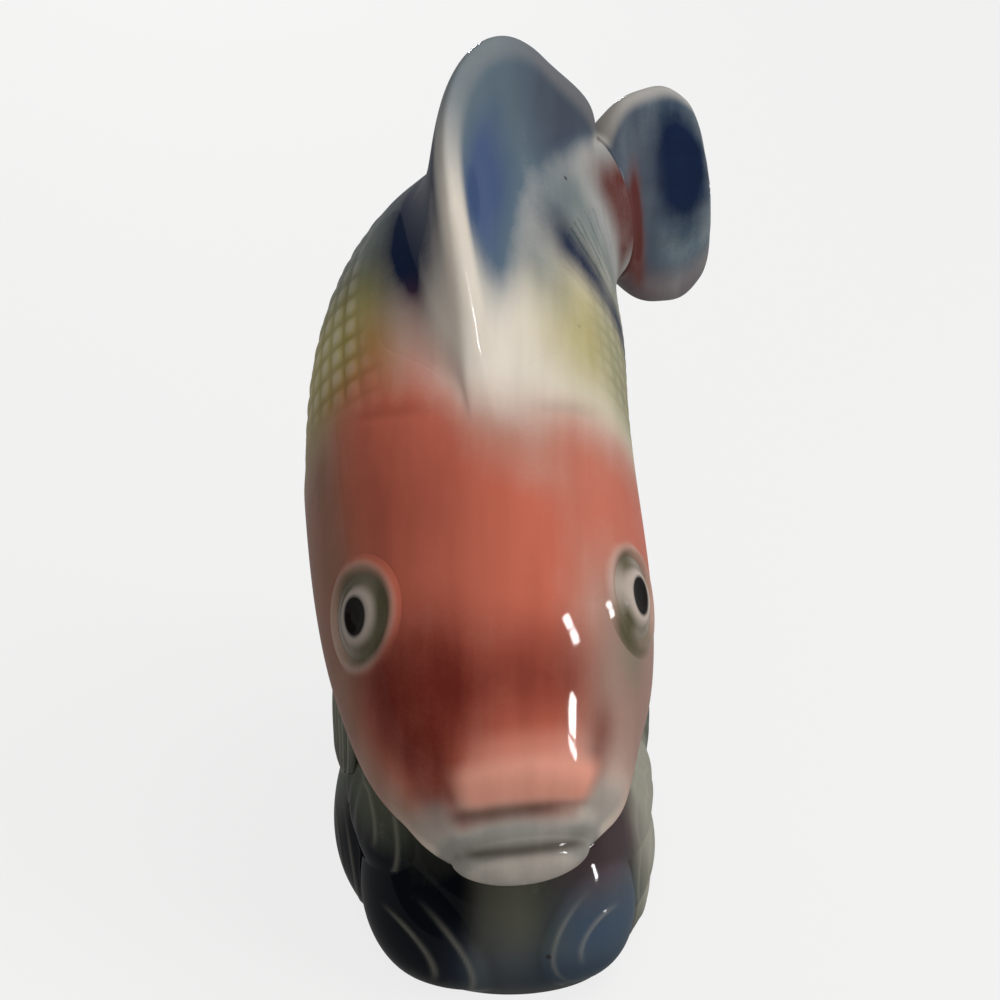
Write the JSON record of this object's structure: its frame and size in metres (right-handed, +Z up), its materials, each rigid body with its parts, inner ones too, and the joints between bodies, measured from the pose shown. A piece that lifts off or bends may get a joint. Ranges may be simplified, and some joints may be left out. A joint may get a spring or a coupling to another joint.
{
  "type": "ceramic fish figurine",
  "caption": "Hollow glazed ceramic fish with a curled tail and tall back fin, rearing over a wave-shaped foot that stands flat on a shelf.",
  "frame": {"origin": "middle of the foot's flat underside, on the shelf", "axes": "+Z up, -Y the way the fish faces, +X the side its tail curls to"},
  "size_m": [0.0685, 0.1273, 0.13],
  "materials": {
    "body_glaze": "clear gloss glaze over airbrushed coral, yellow and white",
    "wave_glaze": "clear gloss glaze over navy and green",
    "fin_glaze": "clear gloss glaze over cobalt with a white edge",
    "eye_glaze": "clear gloss glaze over cream with a green ring and a dark pupil"
  },
  "bodies": {
    "root": {"fish_body": "body_glaze", "wave_base": "wave_glaze", "dorsal_fin": "fin_glaze", "tail_fin": "fin_glaze", "pectoral_fin_left": "wave_glaze", "pectoral_fin_right": "wave_glaze", "eyelid_left": "eye_glaze", "eyelid_right": "eye_glaze", "eyeball_left": "eye_glaze", "eyeball_right": "eye_glaze"}
  },
  "joints": []
}
